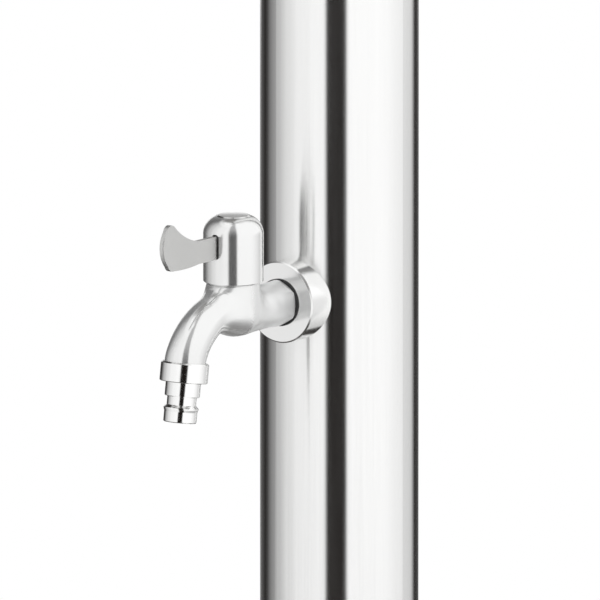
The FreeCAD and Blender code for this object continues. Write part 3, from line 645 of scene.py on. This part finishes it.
def voxel_mesh(node):
    """An even mesh of a CAD node."""
    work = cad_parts[node].copy()
    work.data = work.data.copy()
    bpy.context.scene.collection.objects.link(work)
    even = work.modifiers.new("even", "REMESH")
    even.mode = "VOXEL"
    even.voxel_size = CAST_VOXEL
    depsgraph = bpy.context.evaluated_depsgraph_get()
    mesh = bpy.data.meshes.new_from_object(work.evaluated_get(depsgraph))
    bpy.data.objects.remove(work)
    return mesh


def mesh_rows(elements, key, width, kind=float):
    """One property of all of a mesh's elements, as rows of an array."""
    values = np.empty(len(elements) * width, dtype=kind)
    elements.foreach_get(key, values)
    return values.reshape(-1, width)


def cast_body(name, node):
    """The tap body on an even mesh, its spout and neck run into the barrel as in a sand casting."""
    mesh = voxel_mesh(node)
    edges = mesh_rows(mesh.edges, "vertices", 2, np.int64)
    degree = np.maximum(np.bincount(edges.ravel(), minlength=len(mesh.vertices)), 1)
    start = mesh_rows(mesh.vertices, "co", 3)
    for amount in EVENING:
        start = relaxed(start, edges, degree, amount)
    mesh.vertices.foreach_set("co", start.ravel())
    mesh.update()
    normals = mesh_rows(mesh.vertex_normals, "vector", 3)

    made = start.copy()
    for _ in range(FILL_STEPS):
        level = made - np.array([0.0, 0.0, TAP_HEIGHT])
        made += normals * (FILL_SHARE * fill_depth(level))[:, None]
    for _ in range(PLAIN_PASSES):
        made = relaxed(made, edges, degree, PLAIN_AMOUNT)
    round_off = smooth_step(made[:, 1], *HEXAGON)[:, None]
    for _ in range(HEXAGON_PASSES):
        made += round_off * (relaxed(made, edges, degree, HEXAGON_AMOUNT) - made)
    for index, normal in enumerate(normals):
        made[index] += normal * (SKIN_DEPTH * noise.noise(Vector(start[index] * SKIN_WAVES)))

    mesh.vertices.foreach_set("co", made.ravel())
    mesh.polygons.foreach_set("use_smooth", [True] * len(mesh.polygons))
    mesh.update()
    mesh.name = name
    mesh.materials.clear()
    piece = bpy.data.objects.new(name, mesh)
    bpy.context.scene.collection.objects.link(piece)
    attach(piece, "post")
    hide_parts(node)
    return piece


# ---------------------------------------------------------------- operators for the pieces


class SHOWERPOST_OT_column(bpy.types.Operator):
    """Finishes the column, its foot, its cap and its three bosses."""

    bl_idname = "showerpost.column"
    bl_label = "Column"

    def execute(self, context):
        steel = context.scene.shower_post.steel
        tube = steel_lines(
            "column_steel",
            steel.column_colour,
            roughness=steel.column_roughness,
            close_across=UPRIGHT_LINES,
            spacing=steel.line_spacing,
        )
        brush_round(tube)
        finish_nodes(tube, "post_tube")
        foot = steel_rings(
            "foot_steel", steel.column_colour, roughness=0.40, centre=(0.0, 0.0, 0.0), keep=ROUND_Z
        )
        finish_nodes(foot, "base_plate", "foot_rosette", "post_socket", "top_cap")
        screws = steel_grain(
            "screw_steel", steel.machined_colour, roughness=0.28, grains=900.0, bump=FINE_BUMP
        )
        finish_nodes(screws, "socket_screws")
        for name, height in (
            ("tap_flange", TAP_HEIGHT),
            ("shower_flange", SHOWER_HEIGHT),
            ("arm_flange", ARM_HEIGHT),
        ):
            centre = (0.0, 0.0, height)
            face = steel_rings(
                name + "_steel",
                steel.machined_colour,
                roughness=0.15,
                centre=centre,
                keep=ROUND_Y,
                bump=(0.08, 0.00002),
            )
            finish_nodes(face, name)
        return {"FINISHED"}


class SHOWERPOST_OT_hose_tap(bpy.types.Operator):
    """Finishes the cast tap body, its collar, its hose tail and the shower valve's neck."""

    bl_idname = "showerpost.hose_tap"
    bl_label = "Hose Tap"

    def execute(self, context):
        steel = context.scene.shower_post.steel
        casting = steel_grain(
            "casting_steel",
            steel.casting_colour,
            roughness=steel.neck_roughness,
            grains=900.0,
            bump=None,
            metallic=steel.cast_metallic,
        )
        polish_towards_outlet(casting, steel)
        finish_nodes(casting, "tap_body", "shower_valve_neck")
        body = cast_body("tap_casting", "tap_body")
        body.data.materials.append(casting)
        machined = steel_lines(
            "machined_steel",
            steel.machined_colour,
            roughness=steel.machined_roughness,
            close_across=LEVEL_LINES,
            spacing=0.0004,
        )
        finish_nodes(machined, "hose_collar", "hose_tail", "arm_nut")
        return {"FINISHED"}


class SHOWERPOST_OT_handles(bpy.types.Operator):
    """Finishes the bell handles, levers, buttons, pins and screws of both valves."""

    bl_idname = "showerpost.handles"
    bl_label = "Handles"

    def execute(self, context):
        steel = context.scene.shower_post.steel
        bell = steel_grain(
            "bell_steel",
            steel.bell_colour,
            roughness=steel.bell_roughness,
            grains=1800.0,
            bump=None,
            metallic=steel.satin_metallic,
        )
        lever = steel_grain(
            "lever_steel",
            steel.lever_colour,
            roughness=steel.lever_roughness,
            grains=2200.0,
            bump=(0.15, 0.00003),
        )
        small = steel_grain(
            "fastener_steel", steel.machined_colour, roughness=0.25, grains=1200.0, bump=FINE_BUMP
        )
        for valve, centre, keep in (
            ("tap", (0.0, TAP_AXIS_Y, 0.0), ROUND_Z),
            ("shower", (0.0, 0.0, SHOWER_HEIGHT), ROUND_Y),
        ):
            button = steel_rings(
                valve + "_button_steel", steel.bell_colour, roughness=0.16, centre=centre, keep=keep
            )
            finish_nodes(button, valve + "_button")
            finish_nodes(bell, valve + "_handle")
            finish_nodes(lever, valve + "_lever")
            finish_nodes(small, valve + "_lever_pin", valve + "_screw", valve + "_clip")
        return {"FINISHED"}


class SHOWERPOST_OT_inner_parts(bpy.types.Operator):
    """Finishes the water pipes, brass fittings, valve insides and seals."""

    bl_idname = "showerpost.inner_parts"
    bl_label = "Inner Parts"

    def execute(self, context):
        steel = context.scene.shower_post.steel
        small = context.scene.shower_post.small
        pipe = steel_lines(
            "riser_steel", steel.machined_colour, roughness=0.25, close_across=UPRIGHT_LINES, spacing=0.0008
        )
        finish_nodes(pipe, "riser_lower", "riser_middle", "riser_upper")
        brass = grained(
            "fitting_brass",
            small.brass_colour,
            roughness=0.32,
            half=0.07,
            grains=900.0,
            bump=(0.12, 0.00004),
            patches=40.0,
            metallic=1.0,
            spread=0.85,
        )
        finish_nodes(brass, "supply_inlet", "tap_tee", "shower_fitting", "arm_elbow")
        finish_nodes(brass, "tap_cartridge", "shower_cartridge", "tap_spindle", "shower_spindle")
        rubber = grained(
            "black_rubber",
            small.rubber_colour,
            roughness=0.62,
            half=0.08,
            grains=1600.0,
            bump=(0.2, 0.00004),
            patches=60.0,
            spread=1.5,
        )
        finish_nodes(rubber, "tap_washer", "shower_washer", "arm_washer", "tap_seal", "shower_seal")
        finish_nodes(rubber, "hose_washer", "top_cap_ring", "head_gasket")
        ceramic = grained(
            "disc_ceramic",
            small.ceramic_colour,
            roughness=0.18,
            half=0.04,
            grains=2500.0,
            bump=(0.03, 0.00002),
            patches=80.0,
        )
        finish_nodes(ceramic, "tap_fixed_disc", "tap_moving_disc", "shower_fixed_disc", "shower_moving_disc")
        plastic = grained(
            "seat_plastic",
            small.plastic_colour,
            roughness=0.42,
            half=0.05,
            grains=1400.0,
            bump=(0.1, 0.00003),
            patches=60.0,
        )
        finish_nodes(plastic, "swivel_seat")
        return {"FINISHED"}


class SHOWERPOST_OT_arm_and_head(bpy.types.Operator):
    """Finishes the bent arm, the ball, its nut and the rain head."""

    bl_idname = "showerpost.arm_and_head"
    bl_label = "Arm and Head"

    def execute(self, context):
        steel = context.scene.shower_post.steel
        small = context.scene.shower_post.small
        arm = steel_grain(
            "arm_steel", steel.column_colour, roughness=0.18, grains=700.0, bump=(0.04, 0.00002)
        )
        finish_nodes(arm, "arm_pipe")
        head = steel_rings(
            "head_steel",
            steel.column_colour,
            roughness=0.15,
            centre=HEAD_CENTRE,
            keep=ROUND_Z,
            bump=(0.06, 0.00002),
        )
        finish_nodes(head, "head_shell", "swivel_nut", "swivel_ball")
        plate = steel_rings(
            "spray_steel",
            steel.column_colour,
            roughness=0.28,
            centre=HEAD_CENTRE,
            keep=ROUND_Z,
            bump=(0.12, 0.00002),
        )
        finish_nodes(plate, "spray_plate")
        screws = steel_grain(
            "head_screw_steel", steel.machined_colour, roughness=0.25, grains=900.0, bump=FINE_BUMP
        )
        finish_nodes(screws, "head_screws")
        mat = grained(
            "nozzle_silicone",
            small.silicone_colour,
            roughness=0.5,
            half=0.06,
            grains=1500.0,
            bump=(0.1, 0.00004),
            patches=60.0,
        )
        finish_nodes(mat, "nozzle_mat")
        return {"FINISHED"}


# ---------------------------------------------------------------- studio


def stage_object(name, points, faces, material):
    """A stage mesh with one material."""
    mesh = bpy.data.meshes.new(name)
    mesh.from_pydata(points, [], faces)
    mesh.materials.append(material)
    made = bpy.data.objects.new(name, mesh)
    bpy.context.scene.collection.objects.link(made)
    return made


def stage_sheet(name, left, right, front, back, material):
    """A level rectangle of the stage."""
    corners = [(left, front, 0.0), (right, front, 0.0), (right, back, 0.0), (left, back, 0.0)]
    return stage_object(name, corners, [(0, 1, 2, 3)], material)


def shadow_free(obj):
    """Leaves a stage piece to be seen in reflections only."""
    obj.visible_camera = False
    obj.visible_diffuse = False
    obj.visible_transmission = False
    obj.visible_volume_scatter = False
    obj.visible_shadow = False


def reflected_share(tree):
    """One for camera, glossy and transmission rays, nought for the rest."""
    rays = tree.nodes.new("ShaderNodeLightPath").outputs
    seen = math_result(tree, "MAXIMUM", rays["Is Camera Ray"], rays["Is Glossy Ray"])
    return math_result(tree, "MAXIMUM", seen, rays["Is Transmission Ray"])


def reflected_white(tree, strength):
    """White that the camera sees as it is and that metal reflects at the given strength."""
    rays = tree.nodes.new("ShaderNodeLightPath").outputs
    return ranged(tree, rays["Is Glossy Ray"], 0.0, 1.0, 1.0, strength)


def floor_material(tone, strength):
    """Pale floor: plain near the foot, where it holds the shadow, and white further out."""
    made, tree, surface_socket = bare_material("pale_floor")
    plain = shader(tree, "ShaderNodeBsdfDiffuse", Color=rgba(tone))
    white = shader(tree, "ShaderNodeEmission", Strength=reflected_white(tree, strength))
    radius = vector_result(tree, "LENGTH", object_coordinates(tree))
    share_of_white = product(tree, smooth_range(tree, radius, *FLOOR_FADE), reflected_share(tree))
    tree.links.new(mixed(tree, share_of_white, plain, white), surface_socket)
    return made


def cover(tree, covering, tone, surface_socket):
    """Shines in the tone where the covering is one and is clear where it is nought."""
    clear = shader(tree, "ShaderNodeBsdfTransparent")
    glow = shader(tree, "ShaderNodeEmission", Color=tone)
    tree.links.new(mixed(tree, covering, clear, glow), surface_socket)


def strip_material(half_width, back):
    """The front flag's strip overhead, with soft edges and a soft end behind the column."""
    made, tree, surface_socket = bare_material("top_strip")
    parts = object_parts(tree)
    off = math_result(tree, "ABSOLUTE", parts["X"])
    across = smooth_range(tree, off, half_width, half_width * 0.5, OVERHEAD_DARK)
    along = smooth_range(tree, parts["Y"], back, 0.0)
    cover(tree, product(tree, across, along), FLAG_BLACK, surface_socket)
    return made


def flag_material():
    """Dark flags that fade in and out round the column and with their height."""
    made, tree, surface_socket = bare_material("studio_flags")
    parts = object_parts(tree)
    height = parts["Z"]
    turn = math_result(tree, "ARCTAN2", parts["X"], math_result(tree, "MULTIPLY", parts["Y"], -1.0))
    aside = math_result(tree, "ABSOLUTE", turn)
    ramp = tree.nodes.new("ShaderNodeValToRGB")
    ramp.color_ramp.interpolation = "EASE"
    while len(ramp.color_ramp.elements) < len(FLAG_STOPS):
        ramp.color_ramp.elements.new(0.5)
    for element, (degrees, darkness) in zip(ramp.color_ramp.elements, FLAG_STOPS):
        element.position = degrees / 360.0 + 0.5
        element.color = (darkness, darkness, darkness, 1.0)
    tree.links.new(ranged(tree, turn, -math.pi, math.pi), ramp.inputs["Fac"])

    # An open band behind the column, round the height of the hose tap.
    behind = smooth_range(tree, aside, *map(math.radians, BEHIND_TURN))
    band = product(tree, smooth_range(tree, height, *BAND_OPENS), smooth_range(tree, height, *BAND_CLOSES))
    main = product(tree, ramp.outputs["Color"], left_over(tree, product(tree, behind, band)))
    # A half dark haze low down on the right.
    right = smooth_range(tree, turn, *map(math.radians, HAZE_TURN))
    haze = product(tree, right, smooth_range(tree, height, *HAZE_HEIGHT, HAZE_DARK))
    # The flag in front fades upwards to the overhead strip, and the others fade above the column.
    front = smooth_range(tree, aside, *map(math.radians, FRONT_TURN))
    front_fade = left_over(tree, smooth_range(tree, height, *FRONT_FADE, 1.0 - OVERHEAD_DARK))
    other_fade = left_over(tree, smooth_range(tree, height, *OTHER_FADE, 1.0 - OTHER_DARK))
    tall = either(tree, product(tree, front, front_fade), product(tree, left_over(tree, front), other_fade))
    cover(tree, product(tree, either(tree, main, haze), tall), FLAG_BLACK, surface_socket)
    return made


def card_material(name, inner, outer, brightness):
    """A grey card of the given brightness that fades out between two distances from its middle."""
    made, tree, surface_socket = bare_material(name)
    flat = vector_result(tree, "MULTIPLY", object_coordinates(tree), ROUND_Z)
    radius = vector_result(tree, "LENGTH", flat)
    cover(tree, smooth_range(tree, radius, outer, inner), rgba(WARM_GREY, brightness), surface_socket)
    return made


class SHOWERPOST_OT_stage(bpy.types.Operator):
    """Sets floor, flags, cards, world, lamps and camera."""

    bl_idname = "showerpost.stage"
    bl_label = "Stage"

    def execute(self, context):
        scene = context.scene
        studio = scene.shower_post.studio
        half = studio.floor_half
        floor = floor_material(studio.floor_colour, studio.reflected_white)
        stage_sheet("floor", -half, half, -half, half, floor)
        self.flags(studio)
        self.cards(studio)
        self.world(scene, studio)
        self.lamps(scene)
        self.camera(scene, studio)
        scene.view_settings.view_transform = "Standard"
        return {"FINISHED"}

    def flags(self, studio):
        """A ring of flags round the column, seen in reflections only."""
        count, radius = FLAG_SIDES, studio.flag_radius
        turns = [math.tau * k / count for k in range(count)]
        low = [(radius * math.sin(t), -radius * math.cos(t), FLAG_FOOT) for t in turns]
        high = [(x, y, studio.flag_height) for x, y, _ in low]
        near = [(x * FLAG_INNER_SHARE, y * FLAG_INNER_SHARE, z) for x, y, z in low]
        faces = [(k, (k + 1) % count, count + (k + 1) % count, count + k) for k in range(count)]
        faces += [(2 * count + k, 2 * count + (k + 1) % count, (k + 1) % count, k) for k in range(count)]
        ring = stage_object("flags", low + high + near, faces, flag_material())
        ring.rotation_euler = (0.0, 0.0, studio.camera_azimuth)
        shadow_free(ring)

    def cards(self, studio):
        """A dark grey card under the column, painted shade that only reflections see, a grey card over it,
        and the front flag's strip overhead.
        """
        turn = studio.camera_azimuth
        for name, back, height, inner, outer, brightness in (
            # The card under the column is painted shade: a dim warm grey glow, seen only in reflections,
            # that darkens the steel's undersides.
            ("under_shade_card", 0.0, 0.004, 0.15, 0.95, 0.09),
            ("top_card", 1.1, studio.flag_height, 0.7, 1.5, 0.16),
        ):
            grey = card_material(name, inner, outer, brightness)
            card = stage_sheet(name, -outer, outer, -outer, outer, grey)
            card.location = (-back * math.sin(turn), back * math.cos(turn), height)
            shadow_free(card)
        dark = strip_material(STRIP_HALF_WIDTH, STRIP_BACK)
        strip = stage_sheet(
            "top_strip", -STRIP_HALF_WIDTH, STRIP_HALF_WIDTH, -studio.flag_radius, STRIP_BACK, dark
        )
        strip.location = (0.0, 0.0, studio.flag_height - STRIP_BELOW_TOP)
        strip.rotation_euler = (0.0, 0.0, turn)
        shadow_free(strip)

    def world(self, scene, studio):
        """Even white studio light, and white where camera and metal look past the floor."""
        made = bpy.data.worlds.new("studio_world")
        made.use_nodes = True
        tree = made.node_tree
        tree.nodes.clear()
        soft = shader(tree, "ShaderNodeBackground", Color=WORLD_COLOUR, Strength=WORLD_STRENGTH)
        strength = reflected_white(tree, studio.reflected_white)
        white = shader(tree, "ShaderNodeBackground", Color=WHITE, Strength=strength)
        out = tree.nodes.new("ShaderNodeOutputWorld")
        tree.links.new(mixed(tree, reflected_share(tree), soft, white), out.inputs["Surface"])
        scene.world = made

    def lamps(self, scene):
        """Two large soft lamps, left and right of the lens."""
        for name, place, size, power in LAMPS:
            lamp = bpy.data.lights.new(name, "AREA")
            lamp.shape = "SQUARE"
            lamp.size = size
            lamp.energy = power
            made = bpy.data.objects.new(name, lamp)
            made.location = place
            aim = Vector(LAMP_AIM) - Vector(place)
            made.rotation_euler = aim.to_track_quat("-Z", "Y").to_euler()
            made.visible_glossy = False
            made.visible_camera = False
            scene.collection.objects.link(made)

    def camera(self, scene, studio):
        """A long lens at the photograph's angle, aimed beside the hose tap."""
        a, p = studio.camera_azimuth, studio.camera_elevation
        right = Vector((math.cos(a), math.sin(a), 0.0))
        up = Vector((-math.sin(a) * math.sin(p), math.cos(a) * math.sin(p), math.cos(p)))
        back = Vector((math.sin(a) * math.cos(p), -math.cos(a) * math.cos(p), math.sin(p)))
        aim = Vector((0.0, 0.0, TAP_HEIGHT)) - right * AIM_LEFT - up * AIM_BELOW
        lens = bpy.data.cameras.new("camera")
        lens.sensor_width = SENSOR_WIDTH
        lens.lens = SENSOR_WIDTH * studio.camera_distance / studio.view_width
        lens.clip_start = 0.5
        lens.clip_end = 400.0
        made = bpy.data.objects.new("camera", lens)
        made.location = aim + back * studio.camera_distance
        made.rotation_mode = "QUATERNION"
        made.rotation_quaternion = (-back).to_track_quat("-Z", "Y")
        scene.collection.objects.link(made)
        scene.camera = made


# ---------------------------------------------------------------- panel and registration


class SHOWERPOST_PT_panel(bpy.types.Panel):
    """Lists the shower post's settings and steps."""

    bl_idname = "SHOWERPOST_PT_panel"
    bl_label = "Shower Post"
    bl_space_type = "VIEW_3D"
    bl_region_type = "UI"
    bl_category = "Shower Post"

    def draw(self, context):
        layout = self.layout
        for operator in OPERATORS:
            layout.operator(operator.bl_idname)
        settings = context.scene.shower_post
        for part in (settings.steel, settings.small, settings.studio):
            box = layout.box()
            for key in part.__annotations__:
                box.prop(part, key)


OPERATORS = (
    SHOWERPOST_OT_column,
    SHOWERPOST_OT_hose_tap,
    SHOWERPOST_OT_handles,
    SHOWERPOST_OT_inner_parts,
    SHOWERPOST_OT_arm_and_head,
    SHOWERPOST_OT_stage,
)
SETTINGS = (SteelSettings, SmallPartSettings, StudioSettings, ShowerPostSettings)
CLASSES = (*SETTINGS, *OPERATORS, SHOWERPOST_PT_panel)


def register():
    """Makes the settings, operators and panel known to Blender."""
    for part in CLASSES:
        bpy.utils.register_class(part)
    bpy.types.Scene.shower_post = PointerProperty(type=ShowerPostSettings)


def unregister():
    """Takes them out again."""
    del bpy.types.Scene.shower_post
    for part in reversed(CLASSES):
        bpy.utils.unregister_class(part)


def main():
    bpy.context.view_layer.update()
    register()
    bpy.ops.showerpost.column()
    bpy.ops.showerpost.hose_tap()
    bpy.ops.showerpost.handles()
    bpy.ops.showerpost.inner_parts()
    bpy.ops.showerpost.arm_and_head()
    bpy.ops.showerpost.stage()
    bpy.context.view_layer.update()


if __name__ == "__main__":
    main()
